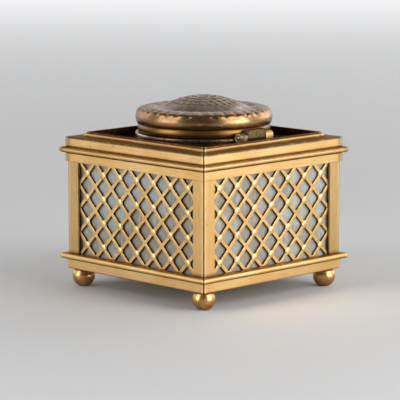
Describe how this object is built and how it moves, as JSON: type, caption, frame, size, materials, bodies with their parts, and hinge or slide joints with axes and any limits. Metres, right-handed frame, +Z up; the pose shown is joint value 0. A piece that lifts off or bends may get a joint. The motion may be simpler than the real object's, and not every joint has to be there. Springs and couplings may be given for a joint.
{
  "type": "desk inkstand",
  "caption": "Square gilt brass desk inkstand on ball feet, with trellis grilles over opal glass and a hinged round domed lid over a glass ink pot.",
  "frame": {"origin": "on the desk, under the centre of the box", "axes": "+Z up, the front faces -Y, and the lid's hinge is at the back, along X"},
  "size_m": [0.1018, 0.1018, 0.0956],
  "materials": {
    "gilt_brass": "satin, worn gilding",
    "foot_brass": "polished",
    "inner_brass": "dull, unpolished",
    "hinge_brass": "worn and spotted",
    "lid_leaf_brass": "worn",
    "steel": "dull",
    "opal_glass": "opalescent, satin",
    "clear_glass": "clear",
    "bronze": "brown patina, satin"
  },
  "bodies": {
    "case": {"base_frame": "gilt_brass", "cornice_frame": "gilt_brass", "top_moulding": "gilt_brass", "top_plate": "gilt_brass", "corner_post_front_left": "gilt_brass", "corner_post_front_right": "gilt_brass", "corner_post_back_right": "gilt_brass", "corner_post_back_left": "gilt_brass", "grille_front": "gilt_brass", "grille_right": "gilt_brass", "grille_back": "gilt_brass", "grille_left": "gilt_brass", "foot_front_left": "foot_brass", "foot_front_right": "foot_brass", "foot_back_right": "foot_brass", "foot_back_left": "foot_brass", "floor_plate": "inner_brass", "collar_nut": "inner_brass", "pane_clip_front_1": "inner_brass", "pane_clip_front_2": "inner_brass", "pane_clip_right_1": "inner_brass", "pane_clip_right_2": "inner_brass", "pane_clip_back_1": "inner_brass", "pane_clip_back_2": "inner_brass", "pane_clip_left_1": "inner_brass", "pane_clip_left_2": "inner_brass", "collar_ring": "hinge_brass", "hinge_fixed_leaf": "hinge_brass", "hinge_screw_left": "hinge_brass", "hinge_screw_right": "hinge_brass", "top_screw_front_left": "steel", "top_screw_front_right": "steel", "top_screw_back_right": "steel", "top_screw_back_left": "steel", "hinge_pin": "steel", "side_pane_front": "opal_glass", "side_pane_right": "opal_glass", "side_pane_back": "opal_glass", "side_pane_left": "opal_glass", "top_pane_front_left": "opal_glass", "top_pane_front_right": "opal_glass", "top_pane_back_right": "opal_glass", "top_pane_back_left": "opal_glass", "glass_ink_pot": "clear_glass"},
    "lid": {"lid_shell": "bronze", "lid_hinge_leaf": "lid_leaf_brass"}
  },
  "joints": [
    {"name": "lid_hinge", "type": "hinge", "parent": "case", "child": "lid", "pos_m": [0, 0.0343, 0.07797], "axis": [-1, 0, 0], "range_deg": [0, 95]}
  ]
}
